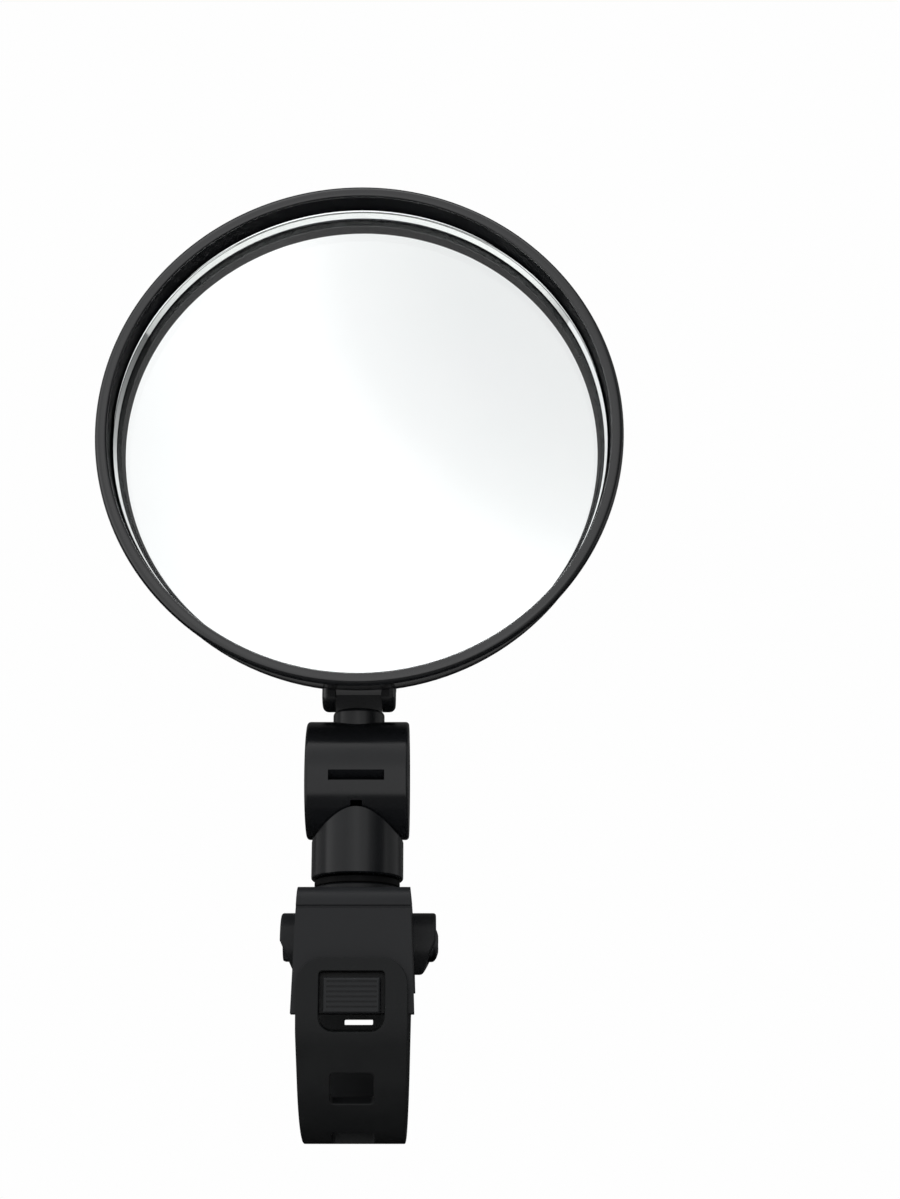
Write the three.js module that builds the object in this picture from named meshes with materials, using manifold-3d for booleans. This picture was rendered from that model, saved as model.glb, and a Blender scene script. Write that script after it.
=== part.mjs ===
// A round convex bike mirror on a strap clamp for a handlebar.
// Millimetres, +Z up. The handlebar runs along X through the origin and the glass faces -Y.
import * as THREE from "three";
import { mergeVertices } from "three/addons/utils/BufferGeometryUtils.js";
import Module from "manifold-3d";

const wasm = await Module();
wasm.setup();

// Driving dimensions

const gap = 0.3; // clearance wherever two pieces touch, slide or turn
const overrun = 1; // how far a cut or a join runs past a face

const handlebarRadius = 11.1; // a 22.2 mm bar
const padThickness = 1; // rubber pad between the bar and the clamp
const padRearAngle = 50; // degrees up from the rear, where the pad ends
const padFrontAngle = 151;

const crownHeight = 10; // from the top of the seat to the top of the clamp
const frontWall = 1.6; // thickness of the clamp's front wall where it ends
const frontWallEnd = 4.2; // how high above the bar's axis the front wall ends
const rearTipHeight = 9.6;
const crownFillet = 2.8;
const crownTopWidth = 16.1;
const crownEndWidth = 17.4;

const strapThickness = 1.8;
const strapBottomWidth = 14.6;
const strapFrontWidth = 15.7;
const strapEndHeight = 11.8; // top of the free end
const strapEndCorner = 3.8;
const strapLeaveAngle = 25; // degrees below the front, where the strap leaves the bar
const hingeAngle = 52; // degrees below the front, where the strap flexes open
const windowWidth = 9.2;
const windowBottom = 1.8;
const windowCorner = 2;
const hookWidth = 8;
const hookBottom = 4;
const hookTop = 9;
const hookProud = 0.3; // how far the hook stands out of its window
const hookBevel = 0.5;
const hookClearance = 0.7; // room above the hook for the window to swing off it
const flexHoleWidth = 6.1;
const flexHoleAngle = 21;
const flexHoleStarts = [17, 66, 115]; // degrees round the bar from the front
const rearSlitWidth = 4.3;
const rearSlitHeight = 1.1;
const rearSlitBottom = 5.1;
const strapRootWidth = 8.8;
const rootShoulderDrop = 3; // below the slit, where the strap starts to narrow
const rootShoulderRise = 2.5; // above the slit's foot, where it is down to its root width

const crossBoltRadius = 1.5;
const crossBoltBack = 8.5; // behind the bar's axis
const crossBoltUp = 4.4; // above the top of the seat
const crossHeadRadius = 2.7;
const crossHeadHeight = 1.6; // up to the end of the boss that it sits in
const crossHeadDome = 1.1;
const crossHeadProud = 0.55; // how far the dome stands out of the boss
const crossKeyDepth = 0.95;
const crossNutRadius = 2.9;
const crossNutHeight = 1.8;
const eyeWall = 1.6;
const knuckleWall = 0.9;
const bossReach = 2.9; // how far the bolt's bosses stand out of the cheeks
const bossTaper = 16; // degrees

const postRadius = 6.4;
const postHeight = 1.4;
const postRoot = 1.8; // how far its foot runs down into the crown
const spigotRadius = 2.9;
const spigotHeight = 4;
const frictionWasherThickness = 0.6;

const hexKeyRadius = 1.25; // socket in the heads of the screws
const clampScrewRadius = 1.5;
const clampScrewHeadRadius = 2.7;
const clampScrewHeadHeight = 2;
const clampWasherThickness = 0.6;
const clampScrewEngagement = 3.6; // thread above the bottom of the slider nut

const collarRadius = 6.8; // across, along the handlebar
const collarDepth = 7.6; // its other half-width, which makes it slightly oval
const collarHeight = 15; // from the collar's underside to the barrel's axis

const barrelRadius = 8.8;
const barrelLength = 15.2;
const barrelWall = 3.2;
const barrelEndBevel = 0.45;
const barrelCapThickness = 1.6;
const barrelCapDepth = 0.2;
const tiltSlotAngle = 60; // half the angle of the slot for the clamp screw
const gripSlitWidth = 8.1;
const gripSlitHeight = 1.75;
const gripSlitDrop = 0.7; // centre of the slit below the barrel's axis
const gripSlitDepth = 1.4;
const sliderNutLength = 9;
const sliderNutHeight = 2.5;

const neckRadius = 3.85;
const neckSeatDepth = 1.7; // how deep the neck's shoulder sits in the barrel
const neckShoulderHeight = 2.8;
const spindleRadius = 2.2;
const neckScrewRadius = 1.1;
const neckScrewHeadRadius = 2.4;
const neckScrewHeadHeight = 1.6;
const neckScrewGrip = 5;
const neckWasherRadius = 3;
const neckWasherThickness = 0.6;

const pivotPinRadius = 1;
const pivotHeight = 3.8; // above the neck's shoulder
const tongueWidth = 6.4;
const tongueRadius = 2.4;
const earThickness = 2;
const earRadius = 3.4;
const earRise = 9; // how far the ears run up the back
const earTipHeight = 0.5; // of the ears above the dome where they end
const headTilt = 25; // degrees that the mirror tips either way

const mirrorRadius = 40;
const mirrorDrop = 2; // how far the rim reaches below the pivot
const lipWidth = 1.9;
const recessDepth = 4.3; // from the front of the lip to the edge of the glass
const glassThickness = 2;
const glassCurve = 240; // radius of the convex face
const glassBevel = 0.9;
const glassBevelDepth = 0.7;
const backingThickness = 0.6;
const backingInset = 1.7;
const rimTaper = 1.25;
const ringBackReach = 0.8; // how far the ring runs past the seat of the backing
const ringToPivot = 3.2; // from the back of the ring to the pivot's axis
const domeHeight = 4.4;
const shellThickness = 1.5;
const seatLandWidth = 7.5;

// Materials

function finish(color, roughness, metalness = 0) {
  return new THREE.MeshStandardMaterial({ color, roughness, metalness });
}

const blackPlastic = finish(0x2e2f31, 0.42);
const blackStrap = finish(0x242526, 0.6);
const blackRubber = finish(0x1a1a1a, 0.85);
const nylon = finish(0x3a3a3a, 0.6);
const blackSteel = finish(0x303236, 0.35, 1);
const plainSteel = finish(0xb9bcc0, 0.3, 1);
const silvered = finish(0xf4f6f8, 0.03, 1);
const foam = finish(0x33363a, 0.95);

// Solids

// A closed three.js geometry as a solid, whichever way its faces were wound.
function toSolid(geometry) {
  const bare = geometry.index ? geometry.toNonIndexed() : geometry.clone();
  bare.deleteAttribute("normal");
  bare.deleteAttribute("uv");
  const merged = mergeVertices(bare, 1e-4);
  const corners = merged.index.array;
  const faces = [];
  for (let i = 0; i < corners.length; i += 3) {
    const [a, b, c] = [corners[i], corners[i + 1], corners[i + 2]];
    if (a !== b && b !== c && c !== a) faces.push(a, b, c);
  }
  const build = (triVerts) =>
    new wasm.Manifold(
      new wasm.Mesh({ numProp: 3, vertProperties: merged.attributes.position.array, triVerts }),
    );
  const solid = build(new Uint32Array(faces));
  return solid.volume() > 0 ? solid : build(new Uint32Array(faces.reverse()));
}

// Axes of a solid drawn in a plane and extruded out of it.
const outOfYZ = new THREE.Matrix4().makeBasis(
  new THREE.Vector3(0, 1, 0),
  new THREE.Vector3(0, 0, 1),
  new THREE.Vector3(1, 0, 0),
);
const outOfXZ = new THREE.Matrix4().makeBasis(
  new THREE.Vector3(1, 0, 0),
  new THREE.Vector3(0, 0, 1),
  new THREE.Vector3(0, -1, 0),
);

// A shape drawn in Y and Z, extruded along X about the middle.
function alongX(shape, width, centre = 0, curveSegments = 12) {
  const geometry = new THREE.ExtrudeGeometry(shape, { depth: width, bevelEnabled: false, curveSegments });
  geometry.translate(0, 0, -width / 2);
  geometry.applyMatrix4(outOfYZ);
  geometry.translate(centre, 0, 0);
  return toSolid(geometry);
}

// A shape drawn in X and Z, extruded along Y between two places.
function alongY(shape, from, to, curveSegments = 8) {
  const geometry = new THREE.ExtrudeGeometry(shape, { depth: to - from, bevelEnabled: false, curveSegments });
  geometry.applyMatrix4(outOfXZ);
  geometry.translate(0, to, 0);
  return toSolid(geometry);
}

function polygon(points) {
  return new THREE.Shape(points.map(([u, v]) => new THREE.Vector2(u, v)));
}

function cylinderX(radius, from, to, y, z, sides = 40) {
  const geometry = new THREE.CylinderGeometry(radius, radius, to - from, sides);
  geometry.rotateZ(-Math.PI / 2);
  geometry.translate((from + to) / 2, y, z);
  return toSolid(geometry);
}

function cylinderZ(radius, from, to, sides = 40) {
  const geometry = new THREE.CylinderGeometry(radius, radius, to - from, sides);
  geometry.rotateX(Math.PI / 2);
  geometry.translate(0, 0, (from + to) / 2);
  return toSolid(geometry);
}

function block(width, depth, height, x, y, z) {
  const geometry = new THREE.BoxGeometry(width, depth, height);
  geometry.translate(x, y, z);
  return toSolid(geometry);
}

// A profile of [radius, distance] points turned about X, Y or Z.
function turned(profile, axis, sides) {
  const points = profile.map(([radius, along]) => new THREE.Vector2(Math.max(radius, 0), along));
  const geometry = new THREE.LatheGeometry(points, sides);
  if (axis === "x") geometry.rotateZ(-Math.PI / 2);
  if (axis === "z") geometry.rotateX(Math.PI / 2);
  return toSolid(geometry);
}

const radians = THREE.MathUtils.degToRad;

// A point on a circle round the bar: 0 degrees is the rear, 90 the top, 180 the front.
function round(radius, degrees) {
  return [radius * Math.cos(radians(degrees)), radius * Math.sin(radians(degrees))];
}

function arc(radius, from, to, steps) {
  return Array.from({ length: steps + 1 }, (_, i) => round(radius, from + ((to - from) * i) / steps));
}

// A wedge of space from the bar's axis outwards, between two angles below the front.
function wedge(width, fromBelow, toBelow) {
  const reach = 3 * handlebarRadius;
  const corners = [[0, 0], round(reach, 180 + fromBelow), round(reach, 180 + toBelow)];
  return alongX(polygon(corners), width);
}

const assembly = new THREE.Group();

function addPiece(name, solid, material) {
  const { vertProperties, triVerts } = solid.getMesh();
  const geometry = new THREE.BufferGeometry();
  geometry.setAttribute("position", new THREE.BufferAttribute(vertProperties, 3));
  geometry.setIndex(new THREE.BufferAttribute(triVerts, 1));
  geometry.computeVertexNormals();
  const piece = new THREE.Mesh(geometry, material);
  piece.name = name;
  assembly.add(piece);
}

// Places that follow from the driving dimensions

const seatRadius = handlebarRadius + padThickness + gap;
const crownTop = seatRadius + crownHeight;
const postTop = crownTop + postHeight;
const frictionWasherBottom = postTop + gap;
const collarBottom = frictionWasherBottom + frictionWasherThickness + gap;
const barrelZ = collarBottom + collarHeight;
const boreRadius = barrelRadius - barrelWall;
const neckBottom = barrelZ + barrelRadius - neckSeatDepth + gap;
const neckTop = neckBottom + neckShoulderHeight;
const pivotZ = neckTop + pivotHeight;
const mirrorZ = pivotZ - mirrorDrop + mirrorRadius;
const crownFront = -(Math.sqrt(seatRadius ** 2 - frontWallEnd ** 2) + frontWall);
const strapInnerFront = crownFront - gap;
const strapOuterFront = strapInnerFront - strapThickness;
const strapOuterRadius = handlebarRadius + strapThickness;
const crossBoltZ = seatRadius + crossBoltUp;
const eyeInner = crossBoltRadius + gap;
const eyeOuter = eyeInner + eyeWall;
const eyePocket = eyeOuter + gap;
const knuckleRadius = eyePocket + knuckleWall;
const bossEnd = crownEndWidth / 2 + bossReach;

// Clamp

// The side outline of the clamp's body, from the front wall's foot over the crown to the rear tip.
function crownOutline() {
  const knuckle = (degrees) => {
    const [y, z] = round(knuckleRadius, degrees);
    return [crossBoltBack + y, crossBoltZ + z];
  };
  const outline = [[crownFront, frontWallEnd]];
  for (let i = 0; i <= 8; i++) {
    const [y, z] = round(crownFillet, 180 - (90 * i) / 8);
    outline.push([crownFront + crownFillet + y, crownTop - crownFillet + z]);
  }
  outline.push([crossBoltBack - knuckleRadius, crownTop]);
  for (let degrees = 75; degrees >= -45; degrees -= 20) outline.push(knuckle(degrees));
  const seatRear = (Math.asin(rearTipHeight / seatRadius) * 180) / Math.PI;
  const seatFront = 180 - (Math.asin(frontWallEnd / seatRadius) * 180) / Math.PI;
  outline.push([rootInner(rearTipHeight), rearTipHeight]);
  outline.push(...arc(seatRadius, seatRear, seatFront, 24));
  return outline;
}

// How far back the inner face of the strap's root lies at a height, less its clearance.
function rootInner(z) {
  const { low, high } = rootLine(-strapThickness / 2);
  const share = (z - low[1]) / (high[1] - low[1]);
  return low[0] + (high[0] - low[0]) * share - gap;
}

// The straight line that the strap's root follows from the bar up to the eye, moved out by an offset.
function rootLine(offset) {
  const loopMiddle = handlebarRadius + strapThickness / 2;
  const eyeMiddle = eyeOuter - strapThickness / 2;
  const span = Math.hypot(crossBoltBack, crossBoltZ);
  const heading = Math.atan2(crossBoltZ, crossBoltBack);
  const normal = heading - Math.acos((loopMiddle - eyeMiddle) / span);
  const [c, s] = [Math.cos(normal), Math.sin(normal)];
  return {
    low: [(loopMiddle + offset) * c, (loopMiddle + offset) * s],
    high: [crossBoltBack + (eyeMiddle + offset) * c, crossBoltZ + (eyeMiddle + offset) * s],
    normal: (normal * 180) / Math.PI,
  };
}

// The front view of the clamp's body, which widens downwards.
function crownFace() {
  const reach = 2 * crownTop;
  const slope = (crownEndWidth - crownTopWidth) / 2 / (crownTop - frontWallEnd);
  const halfTop = crownTopWidth / 2 - slope * (reach - crownTop);
  const halfEnd = crownEndWidth / 2 + slope * frontWallEnd;
  return polygon([[-halfEnd, 0], [halfEnd, 0], [halfTop, reach], [-halfTop, reach]]);
}

// The hook's side outline; its root runs into the front wall.
function hookOutline() {
  const face = strapOuterFront - hookProud;
  const root = crownFront + frontWall / 2;
  return polygon([
    [root, hookBottom + gap],
    [crownFront, hookBottom],
    [face + hookBevel, hookBottom],
    [face, hookBottom + hookBevel],
    [face, hookTop - hookBevel],
    [face + hookBevel, hookTop],
    [root, hookTop],
  ]);
}

function boltBoss(side) {
  const inner = strapRootWidth / 2 + gap;
  const [from, to] = side > 0 ? [inner, bossEnd] : [-bossEnd, -inner];
  const boss = cylinderX(knuckleRadius, from, to, crossBoltBack, crossBoltZ, 36);
  const fall = 3 * knuckleRadius;
  const slant = fall * Math.tan(radians(bossTaper));
  const cut = polygon([
    [side * bossEnd, crossBoltZ],
    [side * (bossEnd + knuckleRadius), crossBoltZ],
    [side * (bossEnd + knuckleRadius), crossBoltZ - fall],
    [side * (bossEnd - slant), crossBoltZ - fall],
  ]);
  const back = crossBoltBack + 2 * knuckleRadius;
  return boss.subtract(alongY(cut, crossBoltBack - 2 * knuckleRadius, back));
}

// A round or six-sided bar along the cross bolt's axis.
function alongBolt(radius, from, to, sides) {
  return cylinderX(radius, from, to, crossBoltBack, crossBoltZ, sides);
}

function clampBase() {
  let body = alongX(polygon(crownOutline()), crownEndWidth + 2 * overrun);
  body = body.intersect(alongY(crownFace(), crownFront - overrun, crossBoltBack + 2 * knuckleRadius));
  body = body.add(alongX(hookOutline(), hookWidth));
  body = body.add(boltBoss(1)).add(boltBoss(-1));
  body = body.add(cylinderZ(postRadius, crownTop - postRoot, postTop, 56));
  body = body.add(cylinderZ(spigotRadius, postTop - overrun, postTop + spigotHeight));
  // slot for the strap's eye, open to the rear and below
  const slotWidth = strapRootWidth + 2 * gap;
  body = body.subtract(alongX(polygon(eyeSlotOutline()), slotWidth));
  body = body.subtract(alongBolt(eyePocket, -slotWidth / 2, slotWidth / 2, 36));
  // cross bolt, its head and its nut
  const past = bossEnd + overrun;
  body = body.subtract(alongBolt(crossBoltRadius + gap, -past, past, 24));
  body = body.subtract(alongBolt(crossHeadRadius + gap, bossEnd - crossHeadHeight, past, 32));
  body = body.subtract(alongBolt(crossNutRadius + gap, -past, crossNutHeight + gap - bossEnd, 6));
  // clamp screw with its head and washer above the seat
  body = body.subtract(cylinderZ(clampScrewRadius + gap, 0, postTop + spigotHeight + overrun, 24));
  return body.subtract(cylinderZ(clampScrewHeadRadius + 2 * gap, 0, clampWasherTop() + gap, 32));
}

function eyeSlotOutline() {
  const { low, high } = rootLine(-strapThickness / 2 - gap);
  const rear = crossBoltBack + 2 * knuckleRadius;
  return [low, [rear, low[1]], [rear, high[1]], high];
}

function clampHeadBottom() {
  return seatRadius + 2 * gap;
}

function clampWasherBottom() {
  return clampHeadBottom() + clampScrewHeadHeight + gap;
}

function clampWasherTop() {
  return clampWasherBottom() + clampWasherThickness;
}

addPiece("clamp_base", clampBase(), blackPlastic);

const padOuter = handlebarRadius + padThickness;
const padOutline = [
  ...arc(padOuter, padRearAngle, padFrontAngle, 20),
  ...arc(handlebarRadius, padFrontAngle, padRearAngle, 20),
];
addPiece("saddle_pad", alongX(polygon(padOutline), strapBottomWidth), blackRubber);

// A socket-head screw standing on its head, with the head's underside at a height.
function socketScrew(headRadius, headHeight, shankRadius, underside, tip) {
  const bottom = underside - headHeight;
  const edge = 0.25;
  const profile = [
    [0, bottom],
    [headRadius - edge, bottom],
    [headRadius, bottom + edge],
    [headRadius, underside],
    [shankRadius, underside],
    [shankRadius, tip - edge],
    [shankRadius - edge, tip],
    [0, tip],
  ];
  const key = cylinderZ(hexKeyRadius, bottom - overrun, bottom + headHeight / 2, 6);
  return turned(profile, "z", 28).subtract(key);
}

function washer(inner, outer, bottom, thickness) {
  const top = bottom + thickness;
  return turned([[inner, bottom], [outer, bottom], [outer, top], [inner, top], [inner, bottom]], "z", 32);
}

const sliderBottom = barrelZ - boreRadius + gap;
addPiece(
  "clamp_screw",
  socketScrew(
    clampScrewHeadRadius,
    clampScrewHeadHeight,
    clampScrewRadius,
    clampHeadBottom() + clampScrewHeadHeight,
    sliderBottom + clampScrewEngagement,
  ),
  plainSteel,
);
addPiece(
  "clamp_screw_washer",
  washer(clampScrewRadius + gap, clampScrewHeadRadius + gap, clampWasherBottom(), clampWasherThickness),
  plainSteel,
);

// Cross bolt along X: button head on the right, nut on the left

function crossBolt() {
  const shankEnd = gap - bossEnd;
  const seat = bossEnd - crossHeadHeight + gap;
  const top = bossEnd + crossHeadProud;
  const rim = top - crossHeadDome;
  const profile = [[0, shankEnd], [crossBoltRadius, shankEnd]];
  profile.push([crossBoltRadius, seat], [crossHeadRadius, seat]);
  for (let i = 0; i <= 4; i++) {
    const around = (Math.PI / 2) * (i / 4);
    profile.push([crossHeadRadius * Math.cos(around), rim + crossHeadDome * Math.sin(around)]);
  }
  const key = cylinderX(hexKeyRadius, top - crossKeyDepth, top + overrun, 0, 0, 6);
  return turned(profile, "x", 28).subtract(key).translate([0, crossBoltBack, crossBoltZ]);
}

addPiece("cross_bolt", crossBolt(), blackSteel);

const nutFace = gap - bossEnd;
const nutSeat = nutFace + crossNutHeight;
const nut = alongBolt(crossNutRadius, nutFace, nutSeat, 6);
const nutBore = alongBolt(crossBoltRadius + gap, nutFace - overrun, nutSeat + overrun, 24);
addPiece("cross_bolt_nut", nut.subtract(nutBore), blackSteel);

// Strap

const halfJoint = (gap / 2 / strapOuterRadius) * (180 / Math.PI);

// The strap as seen from the front, narrower at the bottom than at the free end.
function strapHalfWidth(z) {
  const share = (z + strapOuterRadius) / (windowBottom + strapOuterRadius);
  return (strapBottomWidth + (strapFrontWidth - strapBottomWidth) * share) / 2;
}

// The lower loop from the flex line round under the bar and up to the eye on the cross bolt.
function strapLoop() {
  const start = 180 + hingeAngle + halfJoint;
  const { normal } = rootLine(0);
  const ring = [
    ...arc(strapOuterRadius, start, 360 + normal, 30),
    ...arc(handlebarRadius, 360 + normal, start, 30),
  ];
  const inner = rootLine(-strapThickness / 2);
  const outer = rootLine(strapThickness / 2);
  const width = strapFrontWidth + 2 * overrun;
  let strap = alongX(polygon(ring), width);
  strap = strap.add(alongX(polygon([inner.low, outer.low, outer.high, inner.high]), width));
  strap = strap.add(alongBolt(eyeOuter, -width / 2, width / 2, 32));
  const bottom = -strapOuterRadius - overrun;
  const shoulder = rearSlitBottom - rootShoulderDrop;
  const neckEnd = rearSlitBottom + rootShoulderRise;
  const root = strapRootWidth / 2;
  const outline = polygon([
    [-strapHalfWidth(bottom), bottom],
    [strapHalfWidth(bottom), bottom],
    [strapHalfWidth(shoulder), shoulder],
    [root, neckEnd],
    [root, crossBoltZ + 2 * eyeOuter],
    [-root, crossBoltZ + 2 * eyeOuter],
    [-root, neckEnd],
    [-strapHalfWidth(shoulder), shoulder],
  ]);
  const reach = crossBoltBack + strapOuterRadius;
  strap = strap.intersect(alongY(outline, -reach, reach));
  strap = strap.subtract(alongBolt(eyeInner, -width, width, 24));
  const slitZ = rearSlitBottom + rearSlitHeight / 2;
  strap = strap.subtract(block(rearSlitWidth, reach, rearSlitHeight, 0, reach / 2, slitZ));
  for (const from of flexHoleStarts.slice(1)) {
    strap = strap.subtract(wedge(flexHoleWidth, from, from + flexHoleAngle));
  }
  return strap;
}

addPiece("strap_loop", strapLoop(), blackStrap);

// One face of the free end in side view: round the bar, straight off it, then up the front.
function strapFace(radius, front) {
  const [leaveY, leaveZ] = round(radius, 180 + strapLeaveAngle);
  const rise = (leaveY - front) / Math.tan(radians(strapLeaveAngle));
  const corner = [front, leaveZ + rise];
  const bend = rise / 3;
  const before = [front + bend * Math.tan(radians(strapLeaveAngle)), corner[1] - bend];
  const after = [front, corner[1] + bend];
  const curve = new THREE.QuadraticBezierCurve(
    new THREE.Vector2(...before),
    new THREE.Vector2(...corner),
    new THREE.Vector2(...after),
  );
  const start = 180 + hingeAngle - halfJoint;
  return [
    ...arc(radius, start, 180 + strapLeaveAngle, 8),
    ...curve.getPoints(6).map(({ x, y }) => [x, y]),
    [front, strapEndHeight],
  ];
}

function roundedWindow(width, bottom, top, corner) {
  const half = width / 2;
  const shape = new THREE.Shape();
  shape.moveTo(-half + corner, bottom);
  shape.lineTo(half - corner, bottom);
  shape.absarc(half - corner, bottom + corner, corner, -Math.PI / 2, 0);
  shape.lineTo(half, top);
  shape.lineTo(-half, top);
  shape.lineTo(-half, bottom + corner);
  shape.absarc(-half + corner, bottom + corner, corner, Math.PI, 1.5 * Math.PI);
  return shape;
}

function strapEnd() {
  const inside = strapFace(handlebarRadius, strapInnerFront);
  const outside = strapFace(strapOuterRadius, strapOuterFront);
  let strap = alongX(polygon([...inside, ...outside.reverse()]), strapFrontWidth + 2 * overrun);
  const half = strapFrontWidth / 2;
  const foot = -strapOuterRadius;
  const outline = new THREE.Shape();
  outline.moveTo(-strapHalfWidth(foot), foot);
  outline.lineTo(strapHalfWidth(foot), foot);
  outline.lineTo(half, windowBottom);
  outline.lineTo(half, strapEndHeight - strapEndCorner);
  outline.absarc(half - strapEndCorner, strapEndHeight - strapEndCorner, strapEndCorner, 0, Math.PI / 2);
  outline.lineTo(-half + strapEndCorner, strapEndHeight);
  outline.absarc(
    -half + strapEndCorner,
    strapEndHeight - strapEndCorner,
    strapEndCorner,
    Math.PI / 2,
    Math.PI,
  );
  outline.lineTo(-half, windowBottom);
  strap = strap.intersect(alongY(outline, strapOuterFront - overrun, 0));
  const opening = roundedWindow(windowWidth, windowBottom, hookTop + hookClearance, windowCorner);
  strap = strap.subtract(alongY(opening, strapOuterFront - overrun, 0));
  return strap.subtract(wedge(flexHoleWidth, flexHoleStarts[0], flexHoleStarts[0] + flexHoleAngle));
}

addPiece("strap_end", strapEnd(), blackStrap);

// Swivel: the collar turns on the clamp's post and cradles the barrel

addPiece(
  "friction_washer",
  washer(spigotRadius + gap, postRadius, frictionWasherBottom, frictionWasherThickness),
  nylon,
);

function swivelCollar() {
  const oval = [1, collarDepth / collarRadius, 1];
  let collar = cylinderZ(collarRadius, collarBottom, barrelZ, 56).scale(oval);
  const past = collarRadius + overrun;
  collar = collar.subtract(cylinderX(barrelRadius + gap, -past, past, 0, barrelZ, 72));
  const spigotTop = postTop + spigotHeight + gap;
  collar = collar.subtract(cylinderZ(spigotRadius + gap, collarBottom - overrun, spigotTop, 32));
  return collar.subtract(cylinderZ(clampScrewRadius + gap, collarBottom, barrelZ, 24));
}

addPiece("swivel_collar", swivelCollar(), blackPlastic);

function sliderNut() {
  const radius = boreRadius - gap;
  const half = sliderNutLength / 2;
  const rod = cylinderX(radius, -half, half, 0, barrelZ, 48);
  const bottom = barrelZ - radius;
  const keep = block(sliderNutLength + overrun, 3 * radius, 2 * sliderNutHeight, 0, 0, bottom);
  return rod.intersect(keep).subtract(cylinderZ(clampScrewRadius + gap, 0, barrelZ, 24));
}

addPiece("slider_nut", sliderNut(), plainSteel);

// Barrel with its tilt slot, and the caps that close its bore

function tiltBarrel() {
  const half = barrelLength / 2;
  const bevel = barrelEndBevel;
  const profile = [
    [boreRadius, -half],
    [barrelRadius - bevel, -half],
    [barrelRadius, -half + bevel],
    [barrelRadius, half - bevel],
    [barrelRadius - bevel, half],
    [boreRadius, half],
    [boreRadius, -half],
  ];
  let barrel = turned(profile, "x", 72).translate([0, 0, barrelZ]);
  const reach = 2 * barrelRadius;
  const side = reach * Math.sin(radians(tiltSlotAngle));
  const drop = reach * Math.cos(radians(tiltSlotAngle));
  const slot = polygon([[0, barrelZ], [side, barrelZ - drop], [-side, barrelZ - drop]]);
  barrel = barrel.subtract(alongX(slot, 2 * (clampScrewRadius + 2 * gap)));
  const slitZ = barrelZ - gripSlitDrop;
  const slit = block(gripSlitWidth, 2 * gripSlitDepth, gripSlitHeight, 0, -barrelRadius, slitZ);
  barrel = barrel.subtract(slit);
  const seat = neckBottom - gap;
  barrel = barrel.subtract(cylinderZ(neckRadius + gap, seat, seat + barrelRadius, 40));
  return barrel.subtract(cylinderZ(spindleRadius + gap, barrelZ, seat + overrun, 28));
}

addPiece("tilt_barrel", tiltBarrel(), blackPlastic);

for (const [name, side] of [["barrel_cap_left", -1], ["barrel_cap_right", 1]]) {
  const outer = barrelLength / 2 - barrelCapDepth;
  const [from, to] = side > 0 ? [outer - barrelCapThickness, outer] : [-outer, -outer + barrelCapThickness];
  addPiece(name, cylinderX(boreRadius - gap, from, to, 0, barrelZ, 48), blackPlastic);
}

// Neck, held in the barrel by a washer and a screw

// the housing's lower edge swings this near to the stem when the mirror tips forward
const edgeDrop = mirrorDrop - rimTaper;
const edgeReach = ringToPivot - gap;
const edgeSwung = edgeReach * Math.cos(radians(headTilt)) - edgeDrop * Math.sin(radians(headTilt));
const stemFront = Math.min(edgeSwung - gap, tongueRadius);
const spindleBottom = barrelZ + Math.sqrt(boreRadius ** 2 - (neckWasherRadius + gap) ** 2);

function neckSpindle() {
  const edge = 0.5;
  const profile = [
    [0, spindleBottom],
    [spindleRadius, spindleBottom],
    [spindleRadius, neckBottom],
    [neckRadius, neckBottom],
    [neckRadius, neckTop - edge],
    [neckRadius - edge, neckTop],
    [0, neckTop],
  ];
  let neck = turned(profile, "z", 48);
  const stem = polygon([
    [-stemFront, neckTop - edge],
    [tongueRadius, neckTop - edge],
    [tongueRadius, pivotZ],
    [-stemFront, pivotZ],
  ]);
  neck = neck.add(alongX(stem, tongueWidth));
  neck = neck.add(cylinderX(tongueRadius, -tongueWidth / 2, tongueWidth / 2, 0, pivotZ, 32));
  neck = neck.subtract(cylinderX(pivotPinRadius + gap, -tongueWidth, tongueWidth, 0, pivotZ, 24));
  return neck.subtract(
    cylinderZ(neckScrewRadius + gap, spindleBottom - overrun, spindleBottom + neckScrewGrip + gap, 20),
  );
}

addPiece("neck_spindle", neckSpindle(), blackPlastic);

const neckWasherBottom = spindleBottom - gap - neckWasherThickness;
addPiece(
  "neck_washer",
  washer(neckScrewRadius + gap, neckWasherRadius, neckWasherBottom, neckWasherThickness),
  plainSteel,
);
addPiece(
  "neck_screw",
  socketScrew(
    neckScrewHeadRadius,
    neckScrewHeadHeight,
    neckScrewRadius,
    neckWasherBottom - gap,
    spindleBottom + neckScrewGrip,
  ),
  plainSteel,
);

// Mirror head, turned about the line through the middle of the glass

const ringBack = -ringToPivot;
const seatY = ringBack - ringBackReach;
const glassBack = seatY - gap - backingThickness - gap;
const glassEdge = glassBack - glassThickness;
const lipFront = glassEdge - recessDepth;
const lipRound = lipWidth / 2;
const ringInner = mirrorRadius - lipWidth;
const glassRadius = ringInner - gap;
const headSides = 72;

function onMirrorAxis(profile, sides = headSides) {
  return turned(profile, "y", sides).translate([0, 0, mirrorZ]);
}

function bezelRing() {
  const profile = [];
  for (let i = 0; i <= 8; i++) {
    const [along, out] = round(lipRound, 180 - (180 * i) / 8);
    profile.push([mirrorRadius - lipRound + along, lipFront + lipRound - out]);
  }
  profile.push([mirrorRadius - rimTaper, ringBack], [ringInner, ringBack]);
  profile.push(profile[0]);
  return onMirrorAxis(profile);
}

addPiece("bezel_ring", bezelRing(), blackPlastic);

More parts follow.
